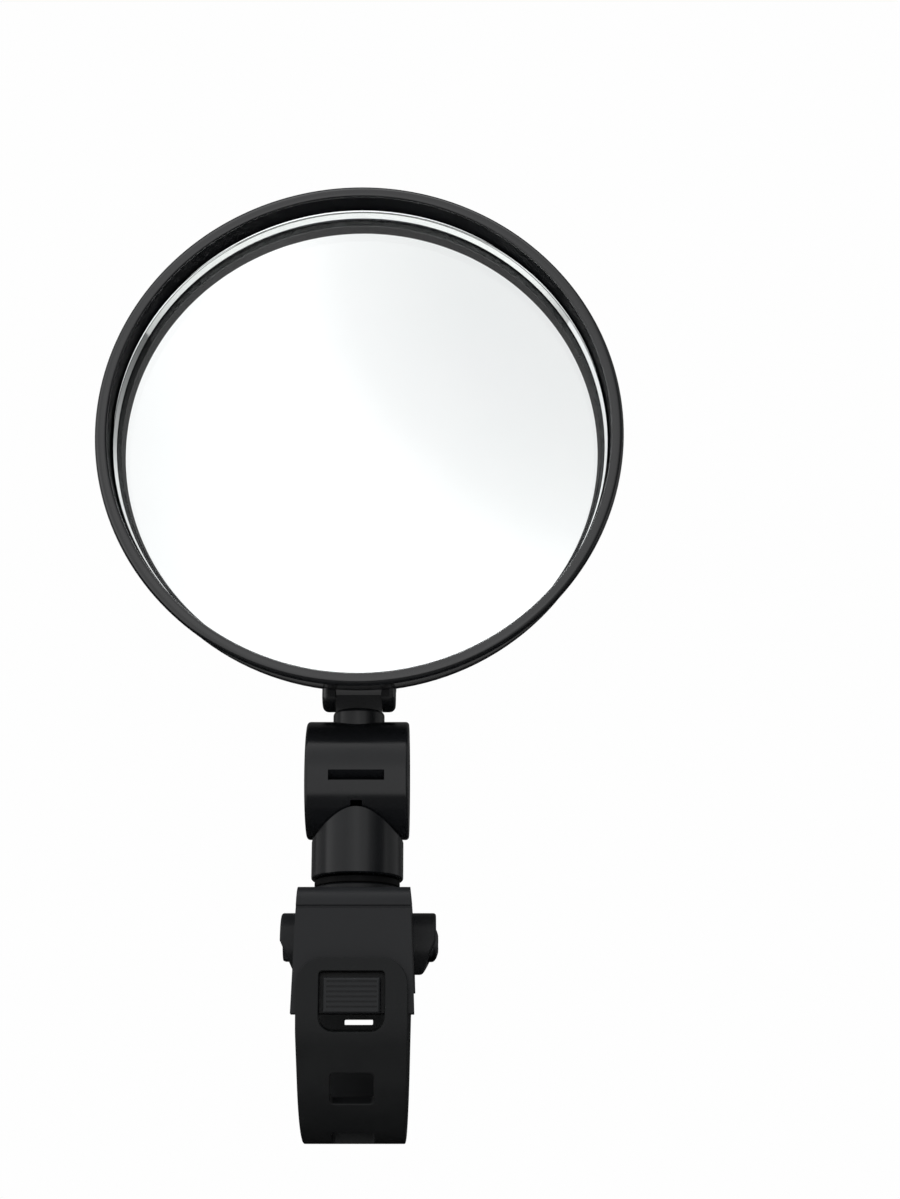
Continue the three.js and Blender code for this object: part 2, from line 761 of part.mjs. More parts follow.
function convexGlass() {
  const sag = (radius) => glassCurve - Math.sqrt(glassCurve ** 2 - radius ** 2);
  const faceRadius = glassRadius - glassBevel;
  const crown = glassEdge - sag(faceRadius);
  const face = [];
  for (let i = 0; i <= 6; i++) {
    const radius = (faceRadius * i) / 6;
    face.push([radius, crown + sag(radius)]);
  }
  const back = face.map(([radius, y]) => [radius, y + glassThickness]).reverse();
  const edge = [[glassRadius, glassEdge + glassBevelDepth], [glassRadius, glassBack]];
  return onMirrorAxis([...face, ...edge, ...back]);
}

addPiece("mirror_glass", convexGlass(), silvered);

const backingRadius = glassRadius - backingInset;
const backingFront = glassBack + gap;
const backingBack = backingFront + backingThickness;
const backing = [[0, backingFront], [backingRadius, backingFront]];
backing.push([backingRadius, backingBack], [0, backingBack]);
addPiece("backing_pad", onMirrorAxis(backing, 56), foam);

const flangeY = ringBack + gap;
const domeRadius = mirrorRadius - rimTaper;

function domeBack(radius) {
  return flangeY + domeHeight * (1 - (radius / domeRadius) ** 2);
}

function earOutline() {
  const front = flangeY;
  const outline = [[front, pivotZ + earRise], [front, pivotZ]];
  for (let degrees = 240; degrees <= 370; degrees += 13) {
    const [y, z] = round(earRadius, degrees);
    outline.push([Math.max(front, y), pivotZ + z]);
  }
  outline.push([domeBack(mirrorRadius - mirrorDrop - earRise) + earTipHeight, pivotZ + earRise]);
  return outline;
}

function mirrorHousing() {
  const spigot = ringInner - gap;
  const landInner = spigot - seatLandWidth;
  const profile = [[0, domeBack(0) - shellThickness]];
  for (const share of [0.5, 1]) {
    profile.push([landInner * share, domeBack(landInner * share) - shellThickness]);
  }
  profile.push([landInner, seatY], [spigot, seatY], [spigot, flangeY], [domeRadius, flangeY]);
  for (let i = 1; i <= 6; i++) {
    const radius = domeRadius * (1 - i / 6);
    profile.push([radius, domeBack(radius)]);
  }
  let housing = onMirrorAxis(profile);
  const earCentre = tongueWidth / 2 + gap + earThickness / 2;
  for (const side of [-1, 1]) {
    housing = housing.add(alongX(polygon(earOutline()), earThickness, side * earCentre));
  }
  const pinHole = pivotPinRadius + gap;
  return housing.subtract(cylinderX(pinHole, -2 * earCentre, 2 * earCentre, 0, pivotZ, 24));
}

addPiece("mirror_housing", mirrorHousing(), blackPlastic);

const pinHalf = tongueWidth / 2 + gap + earThickness;
addPiece("pivot_pin", cylinderX(pivotPinRadius, -pinHalf, pinHalf, 0, pivotZ, 24), plainSteel);

export default assembly;
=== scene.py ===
# A round convex bicycle mirror on a strap clamp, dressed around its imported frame.
import math

import bmesh
import bpy
from mathutils import Matrix, Vector


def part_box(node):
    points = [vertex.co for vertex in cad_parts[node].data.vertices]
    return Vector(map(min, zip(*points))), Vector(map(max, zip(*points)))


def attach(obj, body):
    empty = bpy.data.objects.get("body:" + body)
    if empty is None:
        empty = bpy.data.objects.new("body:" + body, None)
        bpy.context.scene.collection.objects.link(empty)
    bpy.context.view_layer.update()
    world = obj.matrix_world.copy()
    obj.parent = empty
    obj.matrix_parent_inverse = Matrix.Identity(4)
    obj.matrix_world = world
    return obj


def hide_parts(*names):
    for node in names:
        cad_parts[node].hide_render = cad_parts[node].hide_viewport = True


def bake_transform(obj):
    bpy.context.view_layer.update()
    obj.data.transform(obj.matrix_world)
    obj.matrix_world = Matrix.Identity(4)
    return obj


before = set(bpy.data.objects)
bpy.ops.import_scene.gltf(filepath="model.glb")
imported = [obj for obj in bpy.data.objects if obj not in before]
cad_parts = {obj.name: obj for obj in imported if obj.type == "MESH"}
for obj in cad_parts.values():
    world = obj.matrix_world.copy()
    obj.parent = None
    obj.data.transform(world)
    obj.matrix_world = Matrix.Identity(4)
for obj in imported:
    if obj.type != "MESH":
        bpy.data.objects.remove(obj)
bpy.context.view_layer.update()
print("frame loaded with", len(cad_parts), "nodes")

millimetre = 0.001  # everything below is drawn in millimetres and scaled to metres at the end


# places from the frame

def corners(node):
    low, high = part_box(node)
    return low / millimetre, high / millimetre


def middle(node):
    low, high = corners(node)
    return (low + high) / 2


def away(radius, degrees, centre=(0, 0)):
    # a point round a centre: 0 degrees is the rear, 90 the top, 180 the front
    turn = math.radians(degrees)
    return (centre[0] + radius * math.cos(turn), centre[1] + radius * math.sin(turn))


def arc(radius, start, end, steps, centre=(0, 0)):
    return [away(radius, start + (end - start) * i / steps, centre) for i in range(steps + 1)]


# shapes

def lathe(points, axis, centre, steps=96):
    # a profile of (radius, distance along the axis) spun round the axis
    shape = bmesh.new()
    along = "xyz".index(axis)
    across = (along + 1) % 3
    ring = []
    for radius, distance in points:
        place = Vector(centre)
        place[along] = distance
        place[across] += radius
        ring.append(shape.verts.new(place))
    edges = [shape.edges.new(pair) for pair in zip(ring, ring[1:])]
    spindle = Vector((0, 0, 0))
    spindle[along] = 1
    bmesh.ops.spin(
        shape, geom=ring + edges, cent=centre, axis=spindle, angle=2 * math.pi, steps=steps, use_merge=True
    )
    return closed(shape)


def plate(points, axis, start, end):
    # an outline in the other two axes, extruded along this one
    shape = bmesh.new()
    along = "xyz".index(axis)
    ring = []
    for point in points:
        place = list(point)
        place.insert(along, start)
        ring.append(shape.verts.new(place))
    face = shape.faces.new(ring)
    grown = bmesh.ops.extrude_face_region(shape, geom=[face])
    moved = [v for v in grown["geom"] if isinstance(v, bmesh.types.BMVert)]
    travel = Vector((0, 0, 0))
    travel[along] = end - start
    bmesh.ops.translate(shape, verts=moved, vec=travel)
    return closed(shape)


def closed(shape):
    bmesh.ops.remove_doubles(shape, verts=shape.verts, dist=0.001)
    bmesh.ops.recalc_face_normals(shape, faces=shape.faces)
    return shape


def rod(radius, axis, start, end, centre=(0, 0, 0), steps=64):
    return lathe([(0, start), (radius, start), (radius, end), (0, end)], axis, centre, steps)


def block(low, high):
    shape = bmesh.new()
    bmesh.ops.create_cube(shape, size=1)
    low, high = Vector(low), Vector(high)
    bmesh.ops.scale(shape, vec=high - low, verts=shape.verts)
    bmesh.ops.translate(shape, vec=(low + high) / 2, verts=shape.verts)
    return shape


def sharpEdges(shape, degrees):
    limit = math.radians(degrees)
    return [e for e in shape.edges if len(e.link_faces) == 2 and e.calc_face_angle(0) > limit]


def rounded(shape, width, segments=3, keep=None, degrees=30):
    # rounds the sharp edges, or those of them that keep allows
    edges = [e for e in sharpEdges(shape, degrees) if keep is None or keep(e)]
    bmesh.ops.bevel(
        shape,
        geom=edges,
        offset=width,
        segments=segments,
        profile=0.5,
        affect="EDGES",
        material=-1,
        clamp_overlap=True,
    )
    return shape


# objects

def newObject(name, shape):
    mesh = bpy.data.meshes.new(name)
    shape.to_mesh(mesh)
    shape.free()
    piece = bpy.data.objects.new(name, mesh)
    bpy.context.scene.collection.objects.link(piece)
    return piece


def applyModifiers(piece):
    bpy.context.view_layer.update()
    graph = bpy.context.evaluated_depsgraph_get()
    made = bpy.data.meshes.new_from_object(piece.evaluated_get(graph))
    piece.modifiers.clear()
    piece.data = made


def combine(piece, operation, shapes):
    # joins the piece with each shape, or cuts each shape out of it
    for shape in shapes:
        tool = newObject("tool", shape)
        step = piece.modifiers.new("combine", "BOOLEAN")
        step.operation = operation
        step.solver = "EXACT"
        step.object = tool
        applyModifiers(piece)
        bpy.data.objects.remove(tool)


def roundEdges(piece, width, segments=3, degrees=30):
    # cleans what the cuts left, then rounds every sharp edge a little
    shape = bmesh.new()
    shape.from_mesh(piece.data)
    bmesh.ops.remove_doubles(shape, verts=shape.verts, dist=0.01)
    bmesh.ops.dissolve_degenerate(shape, edges=shape.edges, dist=0.01)
    bmesh.ops.dissolve_limit(
        shape, angle_limit=math.radians(0.5), verts=shape.verts, edges=shape.edges, delimit={"MATERIAL"}
    )
    shape.to_mesh(piece.data)
    shape.free()
    step = piece.modifiers.new("round", "BEVEL")
    step.width = width
    step.segments = segments
    step.limit_method = "ANGLE"
    step.angle_limit = math.radians(degrees)
    step.miter_outer = "MITER_ARC"
    applyModifiers(piece)


def dress(piece, body, nodes, materials, degrees=35):
    # the last step of every piece: metres, finish, shading, and the body that it rides on
    piece.data.transform(Matrix.Scale(millimetre, 4))
    for material in materials:
        piece.data.materials.append(material)
    piece.data.shade_smooth()
    piece.data.set_sharp_from_angle(angle=math.radians(degrees))
    shading = piece.modifiers.new("shading", "WEIGHTED_NORMAL")
    shading.keep_sharp = True
    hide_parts(*nodes)
    if body:
        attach(piece, body)
    print("made", piece.name, "with", len(piece.data.polygons), "faces")
    return piece


# materials

def colour(code):
    # an sRGB hex value as linear colour
    def linear(part):
        share = int(part, 16) / 255
        return share / 12.92 if share <= 0.04045 else ((share + 0.055) / 1.055) ** 2.4
    return (linear(code[1:3]), linear(code[3:5]), linear(code[5:7]), 1)


def perMillimetre(size):
    # noise scale for features of this size in millimetres
    return 1 / (size * millimetre)


def addNode(tree, kind, settings=None, links=None):
    node = tree.nodes.new(kind)
    for name, value in (settings or {}).items():
        if isinstance(name, int) or name in node.inputs:
            node.inputs[name].default_value = value
        else:
            setattr(node, name, value)
    for name, source in (links or {}).items():
        tree.links.new(source, node.inputs[name])
    return node


def newMaterial(name, roughness, metallic=0, **sockets):
    material = bpy.data.materials.new(name)
    material.use_nodes = True
    tree = material.node_tree
    shader = tree.nodes["Principled BSDF"]
    shader.inputs["Roughness"].default_value = roughness
    shader.inputs["Metallic"].default_value = metallic
    for socket, value in sockets.items():
        shader.inputs[socket.replace("_", " ")].default_value = value
    return material, tree, shader


def mottle(tree, shader, dark, light, size, low, high):
    # slow variation of colour and of gloss over the piece
    place = addNode(tree, "ShaderNodeTexCoord").outputs["Object"]
    cloud = addNode(
        tree, "ShaderNodeTexNoise", {"Scale": perMillimetre(size), "Detail": 3.0}, {"Vector": place}
    ).outputs["Fac"]
    tone = addNode(
        tree, "ShaderNodeMix", {"data_type": "RGBA", 6: colour(dark), 7: colour(light)}, {0: cloud}
    )
    tree.links.new(tone.outputs[2], shader.inputs["Base Color"])
    gloss = addNode(
        tree,
        "ShaderNodeMapRange",
        {"From Min": 0.3, "From Max": 0.7, "To Min": low, "To Max": high},
        {"Value": cloud},
    )
    tree.links.new(gloss.outputs["Result"], shader.inputs["Roughness"])
    return place


def grain(tree, shader, place, size, depth, strength, stretch=(1, 1, 1)):
    # fine relief left by the mould or the tool
    stretched = addNode(tree, "ShaderNodeMapping", {"Scale": stretch}, {"Vector": place}).outputs["Vector"]
    noise = addNode(
        tree,
        "ShaderNodeTexNoise",
        {"Scale": perMillimetre(size), "Detail": 4.0, "Roughness": 0.6},
        {"Vector": stretched},
    ).outputs["Fac"]
    relief = addNode(
        tree,
        "ShaderNodeBump",
        {"Strength": strength, "Distance": depth * millimetre},
        {"Height": noise},
    )
    tree.links.new(relief.outputs["Normal"], shader.inputs["Normal"])
    return noise


def mouldedAbs():
    # black ABS from a fine spark-eroded mould: satin, with soft wide highlights
    material, tree, shader = newMaterial("moulded_abs", 0.38, IOR=1.5, Specular_IOR_Level=0.2)
    place = mottle(tree, shader, "#131416", "#191a1c", 5, 0.34, 0.44)
    grain(tree, shader, place, 0.32, 0.012, 0.35)
    return material


def sleekAbs():
    # the same black ABS from a smoother mould for the turning parts: its shine follows their curves
    material, tree, shader = newMaterial("sleek_abs", 0.2, IOR=1.5, Specular_IOR_Level=0.3)
    place = mottle(tree, shader, "#0e0f11", "#131416", 6, 0.17, 0.23)
    grain(tree, shader, place, 0.5, 0.006, 0.2)
    return material


def polishedAbs():
    # the rim's ABS comes from a polished mould, so its round lip carries a crisp highlight
    material, tree, shader = newMaterial("polished_abs", 0.2, IOR=1.5, Specular_IOR_Level=0.65)
    place = mottle(tree, shader, "#0d0e10", "#121315", 9, 0.17, 0.24)
    grain(tree, shader, place, 0.6, 0.008, 0.25)
    return material


def shadedRecessAbs():
    # the rim's inner wall, left matt with its shine nearly taken away so that it doesn't shine beside the mirror: a
    # copy of the rim's ABS that paints the shade in the recess
    material, tree, shader = newMaterial("recess_abs_painted_shade", 0.6, IOR=1.5, Specular_IOR_Level=0.03)
    place = mottle(tree, shader, "#101113", "#141517", 6, 0.55, 0.65)
    grain(tree, shader, place, 0.4, 0.01, 0.3)
    return material


def strapTpu():
    # flexible black TPU: duller than the ABS, with a slightly greasy bloom
    material, tree, shader = newMaterial("strap_tpu", 0.46, IOR=1.5, Specular_IOR_Level=0.14)
    place = mottle(tree, shader, "#101112", "#161718", 4, 0.4, 0.52)
    grain(tree, shader, place, 0.25, 0.014, 0.45)
    return material


def padRubber():
    # soft moulded EPDM, dry and matt
    material, tree, shader = newMaterial("pad_rubber", 0.8, IOR=1.52, Specular_IOR_Level=0.3)
    place = mottle(tree, shader, "#0e0e0f", "#1a1a1a", 2, 0.7, 0.88)
    grain(tree, shader, place, 0.18, 0.02, 0.6)
    return material


def shadedWasherNylon():
    # machined black nylon washer stock, waxy, with its colour and shine darkened below the nylon's own to paint the
    # shade that the collar casts on it
    material, tree, shader = newMaterial("washer_nylon_painted_shade", 0.6, IOR=1.53, Specular_IOR_Level=0.08)
    place = mottle(tree, shader, "#0a0a0b", "#101011", 1.5, 0.52, 0.68)
    grain(tree, shader, place, 0.12, 0.01, 0.4)
    return material


def blackOxideSteel():
    # turned steel under a thin black oxide: dark metal with fine turning marks
    material, tree, shader = newMaterial("black_oxide_steel", 0.34, 1)
    place = mottle(tree, shader, "#3a3c3e", "#55575a", 1.2, 0.26, 0.42)
    grain(tree, shader, place, 0.08, 0.006, 0.5, (0.12, 1, 1))
    return material


def zincSteel():
    # bright zinc plating: pale metal with a faint cloudy bloom
    material, tree, shader = newMaterial("zinc_steel", 0.28, 1)
    place = mottle(tree, shader, "#b4b8bb", "#ced1d3", 0.9, 0.2, 0.36)
    grain(tree, shader, place, 0.1, 0.004, 0.4)
    return material


def clearGlass():
    # float glass bent to a dome, fire-polished front
    material, tree, shader = newMaterial("clear_glass", 0.0, IOR=1.52, Transmission_Weight=1.0)
    place = addNode(tree, "ShaderNodeTexCoord").outputs["Object"]
    cloud = addNode(
        tree, "ShaderNodeTexNoise", {"Scale": perMillimetre(18), "Detail": 2.0}, {"Vector": place}
    ).outputs["Fac"]
    tone = addNode(
        tree, "ShaderNodeMix", {"data_type": "RGBA", 6: colour("#fbfdfc"), 7: colour("#ffffff")}, {0: cloud}
    )
    tree.links.new(tone.outputs[2], shader.inputs["Base Color"])
    return material


def polishedEdge():
    # the disc's polished edge, silvered with its back, so it shines white through the glass
    material, tree, shader = newMaterial("polished_glass_edge", 0.03, 1)
    mottle(tree, shader, "#f4f6f6", "#fcfdfd", 3, 0.02, 0.05)
    return material


def silverCoat():
    # vacuum-coated silver behind the glass, a true mirror
    material, tree, shader = newMaterial("silver_coat", 0.01, 1)
    mottle(tree, shader, "#f6f8f9", "#fbfcfc", 25, 0.004, 0.012)
    return material


def closedFoam():
    # thin closed-cell foam tape, charcoal
    material, tree, shader = newMaterial("backing_foam", 0.95, IOR=1.5)
    place = mottle(tree, shader, "#26282b", "#33363a", 0.7, 0.9, 1.0)
    grain(tree, shader, place, 0.3, 0.05, 0.8)
    return material


satinAbs = mouldedAbs()
stemAbs = sleekAbs()
rimAbs = polishedAbs()
tpu = strapTpu()
rubber = padRubber()
shadedNylon = shadedWasherNylon()
oxide = blackOxideSteel()
zinc = zincSteel()
print("materials made")


# mirror head

rim = {"lip": 1.9, "innerRound": 0.5, "outerRound": 0.95, "chamfer": 0.2, "steps": 192}


def bezelRing():
    low, high = corners("bezel_ring")
    outer = high.x
    inner = outer - rim["lip"]
    back = corners("mirror_housing")[1].x
    innerRound, outerRound = rim["innerRound"], rim["outerRound"]
    lip = arc(innerRound, 180, 270, 6, (inner + innerRound, low.y + innerRound))
    lip += arc(outerRound, 270, 360, 12, (outer - outerRound, low.y + outerRound))
    profile = [(inner, high.y), *lip, (back, high.y - rim["chamfer"]), (back - rim["chamfer"], high.y)]
    profile.append(profile[0])
    centre = middle("bezel_ring")
    shape = lathe(profile, "y", centre, rim["steps"])
    for face in shape.faces:
        # the wall inside the lip is left matt, the shine-stripped copy that paints the recess's shade
        spot = face.calc_center_median() - centre
        face.material_index = 1 if math.hypot(spot.x, spot.z) < inner + 0.03 else 0
    dress(newObject("mirrorRim", shape), "head", ["bezel_ring"], [rimAbs, shadedRecessAbs()])


bezelRing()

mirror = {"thickness": 2, "curve": 240, "chamfer": 0.05, "rings": 10, "steps": 160}


def mirrorDisc():
    low, high = corners("mirror_glass")
    radius = high.x
    face = radius - mirror["chamfer"]
    curve = mirror["curve"]
    edge = high.y - mirror["thickness"]

    def bulge(reach):
        # how far back the dome has fallen at this distance from its middle
        return curve - math.sqrt(curve ** 2 - reach ** 2)

    crown = edge - bulge(face)
    reaches = [face * i / mirror["rings"] for i in range(mirror["rings"] + 1)]
    profile = [(reach, crown + bulge(reach)) for reach in reaches]
    profile += [(radius, edge + mirror["chamfer"]), (radius, high.y - mirror["chamfer"])]
    profile += [(reach, crown + mirror["thickness"] + bulge(reach)) for reach in reversed(reaches)]
    shape = lathe(profile, "y", middle("mirror_glass"), mirror["steps"])
    for piece in shape.faces:
        # front glass, silvered back, and the polished edge between them
        piece.material_index = 0 if piece.normal.y < -0.9 else 2 if piece.normal.y > 0.9 else 1
    piece = newObject("mirrorGlass", shape)
    finishes = [clearGlass(), polishedEdge(), silverCoat()]
    dress(piece, "head", ["mirror_glass"], finishes)


mirrorDisc()

shell = {
    "flange": 0.8,
    "edge": 0.4,
    "rise": 3.4,
    "wall": 1.5,
    "land": 7.5,
    "fit": 0.3,
    "earWidth": 2,
    "earGap": 3.5,
    "earRadius": 3.4,
    "earRise": 9,
    "earEdge": 1.6,
    "relief": 2.8,
    "pinHole": 1.08,
    "steps": 144,
}


def mirrorShell():
    low, high = corners("mirror_housing")
    centre = middle("bezel_ring")
    pin = middle("pivot_pin")
    outer = high.x
    front = corners("bezel_ring")[1].y + shell["fit"]
    spigot = corners("bezel_ring")[1].x - rim["lip"] - shell["fit"]
    land = spigot - shell["land"]
    base = front + shell["flange"] + 0.2

    def dome(reach):
        return base + shell["rise"] * (1 - (reach / outer) ** 2)

    profile = [(land * i / 6, dome(land * i / 6) - shell["wall"]) for i in range(7)]
    profile += [(land, low.y), (spigot, low.y), (spigot, front), (outer - 0.15, front), (outer, front + 0.15)]
    edge = shell["edge"]
    profile += arc(edge, 0, 78, 5, (outer - edge, front + shell["flange"]))
    start = outer - edge
    profile += [(start * (1 - i / 14), dome(start * (1 - i / 14))) for i in range(1, 15)]
    piece = newObject("mirrorHousing", lathe(profile, "y", centre, shell["steps"]))

    reach = centre.z - pin.z - shell["earRise"]
    outline = [(front + 0.4, pin.z + shell["earRise"])]
    outline += arc(shell["earRadius"], 212, 372, 26, (pin.y, pin.z))
    outline.append((dome(reach) - 0.1, pin.z + shell["earRise"]))
    for side in (-1, 1):
        inside, outside = side * shell["earGap"], side * (shell["earGap"] + shell["earWidth"])
        ear = plate(outline, "x", min(inside, outside), max(inside, outside))
        rounded(ear, shell["earEdge"], 5, lambda e: all(abs(v.co.x - outside) < 0.01 for v in e.verts))
        combine(piece, "UNION", [ear])
    gap = shell["earGap"]
    knuckle = rod(shell["relief"], "x", -gap, gap, pin)
    hole = rod(shell["pinHole"], "x", low.x, high.x, pin, 32)
    combine(piece, "DIFFERENCE", [knuckle, hole])
    roundEdges(piece, 0.1, 2)
    dress(piece, "head", ["mirror_housing"], [rimAbs])


mirrorShell()


def pivotPin():
    low, high = corners("pivot_pin")
    radius = (high.z - low.z) / 2
    crown = [(radius * math.sin(a), high.x - 0.25 + 0.35 * math.cos(a)) for a in (1.5, 1.2, 0.9, 0.6, 0.3, 0)]
    profile = [(r, -x) for r, x in reversed(crown)] + crown
    piece = newObject("pivotPin", lathe(profile, "x", middle("pivot_pin"), 40))
    dress(piece, "head", ["pivot_pin"], [oxide])


pivotPin()


# neck, barrel and collar

neck = {"radius": 3.85, "height": 3, "edge": 0.55, "spindle": 2.2, "tongue": 2.4, "front": 2.01, "width": 6.8, "stem": 3.6}


def neckSpindle():
    low, high = corners("neck_spindle")
    pin = middle("pivot_pin")
    top = pin.z - neck["stem"]
    bottom = top - neck["height"]
    radius, edge, spindle = neck["radius"], neck["edge"], neck["spindle"]
    profile = [(0, low.z), (spindle - 0.2, low.z), (spindle, low.z + 0.2), (spindle, bottom)]
    profile += [(radius - 0.2, bottom), (radius, bottom + 0.2)]
    profile += arc(edge, 0, 90, 6, (radius - edge, top - edge)) + [(0, top)]
    piece = newObject("neckSpindle", lathe(profile, "z", (0, 0, 0), 96))
    tongue, front, half = neck["tongue"], neck["front"], neck["width"] / 2
    lean = math.degrees(math.acos(front / tongue))
    outline = [(tongue, top - edge)] + arc(tongue, 0, 180 + lean, 30, (pin.y, pin.z)) + [(-front, top - edge)]
    combine(piece, "UNION", [plate(outline, "x", -half, half)])
    screw = corners("neck_screw")[1].z + 0.3
    combine(
        piece,
        "DIFFERENCE",
        [rod(1.12, "x", -9, 9, pin, 32), rod(1.35, "z", low.z - 1, screw, (0, 0, 0), 32)],
    )
    roundEdges(piece, 0.18, 2)
    dress(piece, "neck", ["neck_spindle"], [stemAbs])


neckSpindle()

barrel = {
    "edge": 0.5,
    "bore": 5.6,
    "slotWidth": 3.7,
    "slotAngle": 60,
    "slotTip": 1.7,
    "screwSwing": 40,
    "screwRoom": 1.75,
    "slitWidth": 8.2,
    "slitHeight": 1.8,
    "slitDrop": 0.75,
    "slitDepth": 1.5,
    "seat": 4.15,
    "seatDepth": 1.7,
}


def tiltBarrel():
    low, high = corners("tilt_barrel")
    centre = (low + high) / 2
    radius, half, bore, edge = high.y, high.x, barrel["bore"], barrel["edge"]
    outside = arc(edge, 0, 90, 5, (radius - edge, half - edge))
    profile = [(bore, half - 0.25), (bore, -half + 0.25), (bore + 0.25, -half)]
    profile += [(r, -x) for r, x in reversed(outside)] + outside
    profile += [(bore + 0.25, half), profile[0]]
    piece = newObject("tiltBarrel", lathe(profile, "x", centre, 144))
    reach = 2 * radius

    def sweep(degrees, room, width):
        # the room that a rod through the barrel's middle needs when it swings this far each way
        swing = math.radians(degrees)
        across, along = Vector((math.cos(swing), math.sin(swing))), Vector((math.sin(swing), -math.cos(swing)))
        near, far = across * room, across * room + along * reach
        outline = [(near.x, near.y), (far.x, far.y), (-far.x, far.y), (-near.x, near.y)]
        return plate([(y, centre.z + z) for y, z in outline], "x", -width / 2, width / 2)

    slot = sweep(barrel["screwSwing"], barrel["screwRoom"], barrel["slotWidth"])
    tip = sweep(barrel["slotAngle"], 0.01, barrel["slotTip"])
    foot = centre.z - barrel["slitDrop"] - barrel["slitHeight"] / 2
    inner = barrel["slitDepth"] - radius
    wedge = [(-reach, foot), (inner, foot), (inner, foot + 0.35), (-radius - 0.3, foot + barrel["slitHeight"])]
    wedge.append((-reach, foot + barrel["slitHeight"]))
    slit = plate(wedge, "x", -barrel["slitWidth"] / 2, barrel["slitWidth"] / 2)
    seat = rod(barrel["seat"], "z", high.z - barrel["seatDepth"], high.z + 1)
    spindle = rod(2.5, "z", centre.z, high.z)
    combine(piece, "DIFFERENCE", [slot, tip, slit, seat, spindle])
    roundEdges(piece, 0.12, 2)
    dress(piece, "barrel", ["tilt_barrel"], [stemAbs])


tiltBarrel()

cap = {"edge": 0.3, "groove": 3.6, "grooveWidth": 0.5, "grooveDepth": 0.22, "dimple": 0.8}


def barrelCap(node, name, side):
    low, high = corners(node)
    radius = high.y
    face, root = (high.x, low.x) if side > 0 else (-low.x, -high.x)
    groove, wide, deep = cap["groove"], cap["grooveWidth"] / 2, cap["grooveDepth"]
    profile = [(0, face - 0.3), (cap["dimple"] * 0.6, face - 0.28), (cap["dimple"], face - 0.05)]
    profile += [(cap["dimple"] + 0.15, face), (groove - wide, face), (groove - wide + 0.1, face - deep)]
    profile += [(groove + wide - 0.1, face - deep), (groove + wide, face)]
    profile += arc(cap["edge"], 90, 0, 4, (radius - cap["edge"], face - cap["edge"]))
    profile += [(radius, root), (0, root)]
    profile = [(r, side * x) for r, x in profile]
    piece = newObject(name, lathe(profile, "x", middle(node), 96))
    dress(piece, "barrel", [node], [stemAbs])


barrelCap("barrel_cap_left", "barrelCapLeft", -1)
barrelCap("barrel_cap_right", "barrelCapRight", 1)

collar = {"bore": 3.2, "hole": 1.8, "floor": 3.1, "edge": 0.35, "fit": 0.3}


def swivelCollar():
    low, high = corners("swivel_collar")
    axle = middle("tilt_barrel").z
    cradle = corners("tilt_barrel")[1].y + collar["fit"]
    radius, bore, hole, edge = high.x, collar["bore"], collar["hole"], collar["edge"]
    oval = high.y / high.x
    lift = 1000  # marks the points that lie on the cradle, which are dropped onto it below
    floor = low.z + collar["floor"]
    profile = [(bore, floor), (bore, low.z + 0.2), (bore + 0.2, low.z)]
    profile += arc(edge, -90, 0, 4, (radius - edge, low.z + edge))
    profile += [(radius, low.z + 4)]
    profile += [(r, z + lift) for r, z in arc(edge, 0, 90, 4, (radius - edge, -edge))]
    top = radius - edge
    profile += [(hole + 0.2 + (top - hole - 0.2) * (1 - i / 8), lift) for i in range(1, 9)]
    profile += [(hole, lift - 0.2), (hole, floor), profile[0]]
    shape = lathe(profile, "z", (0, 0, 0), 144)
    for v in shape.verts:
        if v.co.xy.length > bore + 0.5:
            v.co.y *= oval
        if v.co.z > lift / 2:
            v.co.z += axle - math.sqrt(cradle ** 2 - v.co.y ** 2) - lift
    piece = newObject("swivelCollar", shape)
    dress(piece, "collar", ["swivel_collar"], [stemAbs])


swivelCollar()


def frictionWasher():
    low, high = corners("friction_washer")
    inner, outer = collar["bore"], high.x - 0.1
    bottom, top = low.z - 0.22, high.z + 0.22  # it is squeezed between the post and the collar
    profile = [(inner, bottom), (outer - 0.12, bottom), (outer, bottom + 0.12), (outer, top - 0.12)]
    profile += [(outer - 0.12, top), (inner, top), (inner, bottom)]
    piece = newObject("frictionWasher", lathe(profile, "z", (0, 0, 0), 72))
    # the washer's darkened nylon paints the shade under the collar's overhang
    dress(piece, "clamp", ["friction_washer"], [shadedNylon])


frictionWasher()


# clamp

barRadius = 11.1
bolt = middle("cross_bolt")
strap = {
    "thickness": 1.8,
    "frontWidth": 15.7,
    "bottomWidth": 14.6,
    "rootWidth": 8.8,
    "leave": 25,
    "endCorner": 3.8,
    "edge": 0.32,
    "windowWidth": 9.2,
    "windowTop": 9.7,
    "windowBottom": 1.8,
    "windowCorner": 2,
    "holeWidth": 6.1,
    "holeAngle": 21,
    "holeStarts": (17, 66, 115),
    "holeCorner": 0.6,
    "slitWidth": 4.3,
    "slitBottom": 5.1,
    "slitTop": 6.05,
    "eyeHole": 1.8,
    "eyeRadius": 3.4,
}


def rootLine(offset):
    # the straight line from the loop up to the eye on the bolt, moved out by an offset
    loop = barRadius + strap["thickness"] / 2
    eye = strap["eyeRadius"] - strap["thickness"] / 2
    heading = math.atan2(bolt.z, bolt.y)
    normal = math.degrees(heading - math.acos((loop - eye) / math.hypot(bolt.y, bolt.z)))
    return away(loop + offset, normal), away(eye + offset, normal, (bolt.y, bolt.z)), normal


body = {
    "seat": 12.4,
    "post": 1.4,
    "topWidth": 16.1,
    "endWidth": 17.4,
    "frontEnd": 4.2,
    "rearTip": 9.6,
    "shoulder": 2.8,
    "knuckle": 4.6,
    "bossReach": 11.6,
    "taper": 24,
    "edge": 0.45,
    "hookWidth": 8,
    "hookBottom": 4,
    "hookTop": 9,
    "ribPitch": 0.7,
    "ribDepth": 0.16,
}


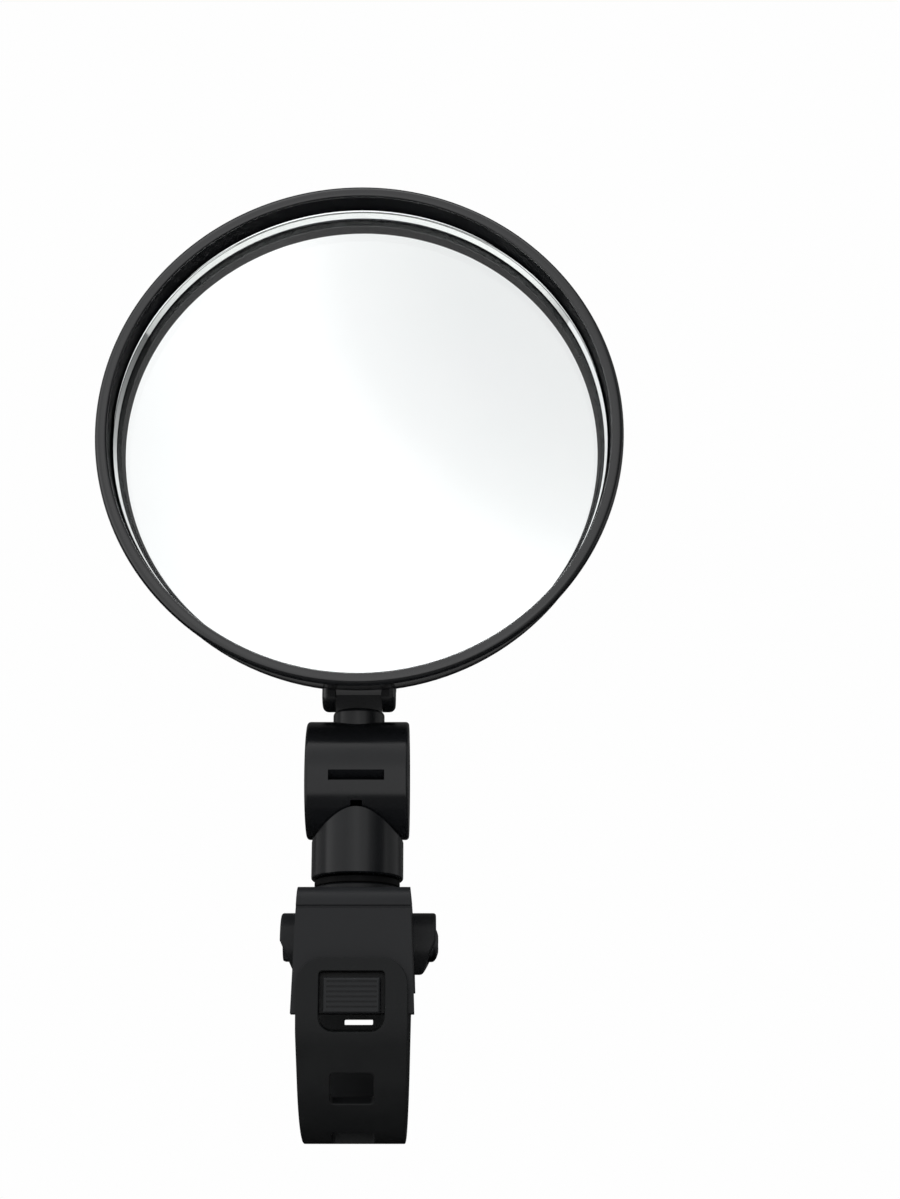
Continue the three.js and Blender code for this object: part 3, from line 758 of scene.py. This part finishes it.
def clampOutline(front, top):
    shoulder, seat = body["shoulder"], body["seat"]
    step = 0.2  # the groove under the shoulder
    line = top - shoulder - 0.35
    outline = [(front, body["frontEnd"]), (front, line - 0.35), (front + step, line - 0.15), (front + step, line)]
    outline += [(front, line + 0.25)]
    outline += arc(shoulder, 180, 90, 12, (front + shoulder, top - shoulder))
    outline.append((bolt.y - body["knuckle"], top))
    outline += arc(body["knuckle"], 72, -45, 14, (bolt.y, bolt.z))
    low, high, normal = rootLine(-strap["thickness"] / 2 - 0.3)
    share = (body["rearTip"] - low[1]) / (high[1] - low[1])
    outline.append((low[0] + (high[0] - low[0]) * share, body["rearTip"]))
    rear = math.degrees(math.asin(body["rearTip"] / seat))
    fore = 180 - math.degrees(math.asin(body["frontEnd"] / seat))
    return outline + arc(seat, rear, fore, 40)


def boltBoss(side):
    reach = body["bossReach"]
    start, end = sorted((side * 5, side * reach))
    shape = rod(body["knuckle"], "x", start, end, bolt, 72)
    slant = math.radians(body["taper"])
    cut = bmesh.ops.bisect_plane(
        shape,
        geom=shape.verts[:] + shape.edges[:] + shape.faces[:],
        plane_co=(side * reach, 0, bolt.z),
        plane_no=(side * math.cos(slant), 0, -math.sin(slant)),
        clear_outer=True,
    )
    rimEdges = [e for e in cut["geom_cut"] if isinstance(e, bmesh.types.BMEdge)]
    bmesh.ops.holes_fill(shape, edges=rimEdges)
    closed(shape)
    return rounded(shape, 0.4, 3, lambda e: all(side * v.co.x > 6 for v in e.verts))


def clampBase():
    front = corners("strap_end")[0].y + strap["thickness"] + 0.3
    top = corners("clamp_base")[1].z - 4 - body["post"]
    half = body["endWidth"] / 2
    shape = plate(clampOutline(front, top), "x", -half, half)
    narrowing = (body["endWidth"] - body["topWidth"]) / body["endWidth"]
    for v in shape.verts:
        v.co.x *= 1 - narrowing * (v.co.z - body["frontEnd"]) / (top - body["frontEnd"])
    rounded(shape, body["edge"], 4, lambda e: all(abs(v.co.x) > 7.5 for v in e.verts))
    piece = newObject("clampBody", shape)

    face = corners("clamp_base")[0].y
    hook = [(front + 0.8, body["hookBottom"] + 0.3), (front, body["hookBottom"])]
    hook += [(face, body["hookBottom"]), (face, body["hookTop"]), (front + 0.8, body["hookTop"])]
    hookShape = plate(hook, "x", -body["hookWidth"] / 2, body["hookWidth"] / 2)
    rounded(hookShape, 0.4, 4, lambda e: all(v.co.y < front - 0.5 for v in e.verts))
    post = body["post"]
    wide = corners("friction_washer")[1].x
    collarSeat = [(0, top - 1.8), (wide, top - 1.8), (wide, top + post - 0.2), (wide - 0.2, top + post)]
    collarSeat.append((2.9, top + post))
    collarSeat += [(2.9, top + post + 3.7), (2.6, top + post + 4), (0, top + post + 4)]
    combine(piece, "UNION", [hookShape, boltBoss(-1), boltBoss(1), lathe(collarSeat, "z", (0, 0, 0), 96)])

    ribs = []
    height = body["hookBottom"] + 0.75
    while height < body["hookTop"] - 0.6:
        ribs.append(block((-3.5, face - 1, height), (3.5, face + body["ribDepth"], height + 0.26)))
        height += body["ribPitch"]
    slot = strap["rootWidth"] / 2 + 0.3
    low, high, normal = rootLine(-strap["thickness"] / 2 - 0.3)
    rear = bolt.y + 2 * body["knuckle"]
    eyeSlot = plate([low, (rear, low[1]), (rear, high[1]), high], "x", -slot, slot)
    eyePocket = rod(strap["eyeRadius"] + 0.3, "x", -slot, slot, bolt)
    reach = body["bossReach"]
    boltHole = rod(1.7, "x", -reach - 1, reach + 1, bolt, 48)
    headHole = rod(3, "x", reach - 1.6, reach + 1, bolt)
    nutHole = rod(3.15, "x", -reach - 1, -reach + 2.1, bolt, 6)
    screwHole = rod(1.8, "z", 0, top + 8, (0, 0, 0), 48)
    headRoom = rod(3.3, "z", 0, corners("clamp_screw_washer")[1].z + 0.3)
    cuts = [eyeSlot, eyePocket, boltHole, headHole, nutHole, screwHole, headRoom]
    combine(piece, "DIFFERENCE", ribs + cuts)
    roundEdges(piece, 0.1, 2, 32)
    dress(piece, "clamp", ["clamp_base"], [satinAbs])


clampBase()

pad = {"groove": 0.35, "grooveAngle": 2.6, "pitch": 8.4}


def saddlePad():
    low, high = corners("saddle_pad")
    outer = barRadius + 1
    inner = barRadius
    start, end = 50, 151
    outline = arc(outer, start, end, 44)
    inside = []
    turn = end
    while turn > start + pad["pitch"]:
        land = turn - pad["pitch"] + pad["grooveAngle"]
        inside += arc(inner, turn, land, 4)
        inside += arc(inner + pad["groove"], land - 0.3, land - pad["grooveAngle"] + 0.3, 2)
        turn -= pad["pitch"]
    inside += arc(inner, turn, start, 4)
    shape = plate(outline + inside, "x", low.x, high.x)
    rounded(shape, 0.12, 2, degrees=40)
    dress(newObject("saddlePad", shape), "clamp", ["saddle_pad"], [rubber])


saddlePad()


def crossBolt():
    low, high = corners("cross_bolt")
    shank, head, seat = 1.5, 2.7, 10.3
    rimHeight, dome = high.x - 1.1, 1.1
    profile = [(0, low.x), (shank - 0.35, low.x)]
    pitch = 0.5
    for turn in range(7):
        place = low.x + 0.15 + turn * pitch
        profile += [(shank - 0.3, place), (shank, place + pitch / 2 - 0.06), (shank, place + pitch / 2 + 0.06)]
    profile += [(shank, seat), (head - 0.15, seat), (head, seat + 0.15)]
    turns = [math.radians(90 * i / 10) for i in range(11)]
    profile += [(head * math.cos(a), rimHeight + dome * math.sin(a)) for a in turns]
    piece = newObject("crossBolt", lathe(profile, "x", bolt, 64))
    combine(piece, "DIFFERENCE", [rod(1.3, "x", high.x - 1, high.x + 1, bolt, 6)])
    roundEdges(piece, 0.08, 2)
    dress(piece, "clamp", ["cross_bolt"], [oxide])


crossBolt()


def crossNut():
    low, high = corners("cross_bolt_nut")
    nut = rod(2.88, "x", low.x, high.x, bolt, 6)
    crown = [(0, low.x), (2.45, low.x), (2.95, low.x + 0.4), (2.95, high.x), (0, high.x)]
    piece = newObject("crossNut", nut)
    combine(piece, "INTERSECT", [lathe(crown, "x", bolt, 64)])
    combine(piece, "DIFFERENCE", [rod(1.56, "x", low.x - 1, high.x + 1, bolt, 48)])
    roundEdges(piece, 0.06, 2)
    dress(piece, "clamp", ["cross_bolt_nut"], [oxide])


crossNut()


# strap: cut flat, edges rounded, then bent along its path

def strapPath():
    # closely spaced points on the strap's middle line, from its free end to its eye
    half = strap["thickness"] / 2
    front = corners("strap_end")[0].y + half
    top = corners("strap_end")[1].z
    radius = barRadius + half
    leave = away(radius, 180 + strap["leave"])
    slope = math.tan(math.radians(strap["leave"]))
    rise = (leave[0] - front) / slope
    corner = Vector((front, leave[1] + rise))
    before = Vector((front + rise / 3 * slope, corner.y - rise / 3))
    after = Vector((front, corner.y + rise / 3))
    low, high, normal = rootLine(0)
    nodes = [Vector((front, top)), after]
    for i in range(1, 13):
        share = i / 12
        nodes.append(after.lerp(corner, share).lerp(corner.lerp(before, share), share))
    nodes += [Vector(p) for p in arc(radius, 180 + strap["leave"], 360 + normal, 70)] + [Vector(high)]
    points = []
    for a, b in zip(nodes, nodes[1:]):
        steps = max(1, round((b - a).length / 0.4))
        points += [a.lerp(b, i / steps) for i in range(steps)]
    return points + [nodes[-1]]


def strapPiece():
    points = strapPath()
    lengths = [0]
    for a, b in zip(points, points[1:]):
        lengths.append(lengths[-1] + (b - a).length)

    def nearest(place):
        # distance along the strap of the point nearest to a place
        return min(zip(points, lengths), key=lambda pair: (pair[0] - Vector(place)).length)[1]

    middleRadius = barRadius + strap["thickness"] / 2
    front = points[0].x
    foot = nearest((0, -middleRadius))
    windowFoot = nearest((front, strap["windowBottom"]))
    shoulder = nearest((middleRadius, strap["slitBottom"] + 2.1))
    root = nearest((middleRadius, strap["slitBottom"] + 4.1))
    wide, narrow, thin = strap["frontWidth"] / 2, strap["bottomWidth"] / 2, strap["rootWidth"] / 2
    corner = strap["endCorner"]
    side = arc(corner, -90, 0, 10, (wide - corner, corner))
    side += [(wide, windowFoot), (narrow, foot), (wide, shoulder), (thin, root), (thin, lengths[-1])]
    outline = side + [(-x, y) for x, y in reversed(side)]
    half = strap["thickness"] / 2
    piece = newObject("strap", plate(outline, "z", -half, half))

    def opening(width, start, end, headCorner, footCorner):
        reach = width / 2
        right = arc(headCorner, -90, 0, 5, (reach - headCorner, start + headCorner))
        right += arc(footCorner, 0, 90, 8, (reach - footCorner, end - footCorner))
        return plate(right + [(-x, y) for x, y in reversed(right)], "z", -2 * half, 2 * half)

    cuts = [opening(strap["windowWidth"], nearest((front, strap["windowTop"])), windowFoot, 0.5, strap["windowCorner"])]
    for angle in strap["holeStarts"]:
        start = nearest(away(middleRadius, 180 + angle))
        end = start + math.radians(strap["holeAngle"]) * middleRadius
        cuts.append(opening(strap["holeWidth"], start, end, strap["holeCorner"], strap["holeCorner"]))
    slitStart = nearest((middleRadius, strap["slitBottom"]))
    slitEnd = nearest((middleRadius, strap["slitTop"]))
    cuts.append(opening(strap["slitWidth"], slitStart, slitEnd, 0.2, 0.2))
    combine(piece, "DIFFERENCE", cuts)

    shape = bmesh.new()
    shape.from_mesh(piece.data)
    bmesh.ops.dissolve_limit(shape, angle_limit=math.radians(0.5), verts=shape.verts, edges=shape.edges)
    rounded(shape, strap["edge"], 3, lambda e: all(v.co.y < lengths[-1] - 0.1 for v in e.verts), 60)
    place = 0.6
    while place < lengths[-1]:
        bmesh.ops.bisect_plane(
            shape,
            geom=shape.verts[:] + shape.edges[:] + shape.faces[:],
            plane_co=(0, place, 0),
            plane_no=(0, 1, 0),
        )
        place += 0.6
    for v in shape.verts:
        index = max(1, min(len(points) - 2, sum(1 for x in lengths if x < v.co.y)))
        a, b = points[index - 1], points[index]
        share = (v.co.y - lengths[index - 1]) / (lengths[index] - lengths[index - 1])
        tangents = [(points[min(k + 1, len(points) - 1)] - points[max(k - 1, 0)]).normalized() for k in (index - 1, index)]
        tangent = tangents[0].lerp(tangents[1], min(1, max(0, share))).normalized()
        spot = a.lerp(b, share) + Vector((tangent.y, -tangent.x)) * v.co.z
        v.co = Vector((v.co.x, spot.x, spot.y))
    closed(shape)
    shape.to_mesh(piece.data)
    shape.free()
    eye = [(strap["eyeHole"], -thin + 0.2), (strap["eyeHole"] + 0.2, -thin), (strap["eyeRadius"] - 0.3, -thin)]
    eye += [(strap["eyeRadius"], -thin + 0.3), (strap["eyeRadius"], thin - 0.3), (strap["eyeRadius"] - 0.3, thin)]
    eye += [(strap["eyeHole"] + 0.2, thin), (strap["eyeHole"], thin - 0.2), (strap["eyeHole"], -thin + 0.2)]
    combine(piece, "UNION", [lathe(eye, "x", bolt, 56)])
    combine(piece, "DIFFERENCE", [rod(strap["eyeHole"], "x", -9, 9, bolt, 48)])
    dress(piece, None, ["strap_loop", "strap_end"], [tpu])
    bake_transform(piece)


strapPiece()


# the fastenings that stay as the frame has them

def finishNode(node, material):
    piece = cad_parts[node]
    if not piece.data.materials:
        piece.data.materials.append(material)
    for holder in piece.material_slots:
        holder.material = material


for node in ("clamp_screw", "clamp_screw_washer", "slider_nut", "neck_washer", "neck_screw"):
    finishNode(node, zinc)
finishNode("backing_pad", closedFoam())
print("fastenings finished")


# stage, light and camera

stage = {"floorHeight": -0.06, "floorRadius": 1.6}


def paleFloor():
    # matt pale paint on a round table
    shape = bmesh.new()
    bmesh.ops.create_circle(shape, cap_ends=True, segments=128, radius=stage["floorRadius"])
    bmesh.ops.translate(shape, vec=(0, 0, stage["floorHeight"]), verts=shape.verts)
    floor = newObject("floor", shape)
    material, tree, shader = newMaterial("pale_floor", 0.8, Specular_IOR_Level=0.2)
    place = addNode(tree, "ShaderNodeTexCoord").outputs["Object"]
    cloud = addNode(tree, "ShaderNodeTexNoise", {"Scale": 3.0, "Detail": 2.0}, {"Vector": place}).outputs["Fac"]
    tone = addNode(
        tree, "ShaderNodeMix", {"data_type": "RGBA", 6: colour("#f4f4f2"), 7: colour("#f8f8f6")}, {0: cloud}
    )
    tree.links.new(tone.outputs[2], shader.inputs["Base Color"])
    floor.data.materials.append(material)
    floor.visible_glossy = False


paleFloor()


def studioWorld():
    # a white tent open at the back: bright in front from just below the object to overhead, dim round
    # the sides, and a plain white backdrop behind whatever is looked at
    world = bpy.data.worlds.new("studio")
    bpy.context.scene.world = world
    world.use_nodes = True
    tree = world.node_tree
    background = tree.nodes["Background"]
    way = addNode(tree, "ShaderNodeTexCoord").outputs["Generated"]
    parts = addNode(tree, "ShaderNodeSeparateXYZ", links={0: way}).outputs

    def ramp(source, stops):
        # stops are (share of the direction from -1 to 1, brightness)
        node = addNode(tree, "ShaderNodeValToRGB")
        share = addNode(tree, "ShaderNodeMapRange", {"From Min": -1.0, "From Max": 1.0}, {"Value": source})
        tree.links.new(share.outputs["Result"], node.inputs[0])
        while len(node.color_ramp.elements) < len(stops):
            node.color_ramp.elements.new(0.5)
        for element, (along, brightness) in zip(node.color_ramp.elements, stops):
            element.position = (along + 1) / 2
            element.color = (brightness, brightness, brightness, 1)
        return node.outputs[0]

    def blend(kind, first, second, share=None):
        settings = {"data_type": "RGBA", "blend_type": kind, 0: 1.0}
        links = {6: first, 7: second}
        if share:
            links[0] = share
        return addNode(tree, "ShaderNodeMix", settings, links).outputs[2]

    across = ramp(parts[0], [(-1, 1.3), (-0.85, 0.9), (-0.5, 0.8), (-0.2, 1), (0, 1.2), (0.35, 1.2), (0.6, 0.4), (0.85, 0.05), (0.95, 0.1), (1, 0.8)])
    upwards = ramp(parts[2], [(-0.63, 0.12), (-0.59, 1.25), (-0.4, 1.17), (0.62, 1.17), (0.72, 1.5), (0.95, 1.5)])
    tent = blend("MULTIPLY", across, upwards)
    toSpot = {"operation": "DOT_PRODUCT", 1: Vector((0.38, -0.72, 0.58)).normalized()}
    spot = addNode(tree, "ShaderNodeVectorMath", toSpot, {0: way}).outputs["Value"]
    greyPanel = ramp(spot, [(0.8, 3), (0.86, 1.12), (0.9, 1), (0.955, 0.92), (1, 0.88)])
    tent = blend("DARKEN", tent, greyPanel)
    strips = ramp(parts[0], [(-0.98, 0.4), (-0.8, 0.4), (-0.7, 0.1), (0.7, 0.1), (0.8, 0.4), (0.98, 0.4)])
    behind = blend("MULTIPLY", strips, ramp(parts[2], [(-0.2, 0.05), (0.1, 1), (0.7, 1), (1, 0.5)]))
    facing = ramp(parts[1], [(-0.08, 0), (0.04, 1)])
    studio = blend("MIX", tent, behind, facing)
    seen = addNode(tree, "ShaderNodeLightPath").outputs["Is Camera Ray"]
    backdrop = addNode(tree, "ShaderNodeMix", {"data_type": "RGBA", 7: colour("#fefefe")}, {0: seen, 6: studio})
    tree.links.new(backdrop.outputs[2], background.inputs["Color"])
    background.inputs["Strength"].default_value = 1


studioWorld()


def softbox(name, place, aim, width, height, power):
    data = bpy.data.lights.new(name, "AREA")
    data.shape = "RECTANGLE"
    data.size = width
    data.size_y = height
    data.energy = power
    light = bpy.data.objects.new(name, data)
    light.location = place
    light.rotation_euler = (Vector(aim) - Vector(place)).to_track_quat("-Z", "Y").to_euler()
    light.visible_glossy = False
    bpy.context.scene.collection.objects.link(light)


softbox("overheadSoftbox", (-0.15, -0.25, 0.75), (0, 0, 0.04), 0.6, 0.4, 5)


def photographCamera():
    data = bpy.data.cameras.new("camera")
    data.sensor_width = 36
    data.lens = 69.81
    data.clip_start = 0.01
    camera = bpy.data.objects.new("camera", data)
    camera.location = (0.0137, -0.3416, -0.0298)
    camera.rotation_euler = (math.radians(90 + 16.01), 0, 0)
    bpy.context.scene.collection.objects.link(camera)
    bpy.context.scene.camera = camera


photographCamera()
bpy.context.scene.view_settings.view_transform = "Standard"
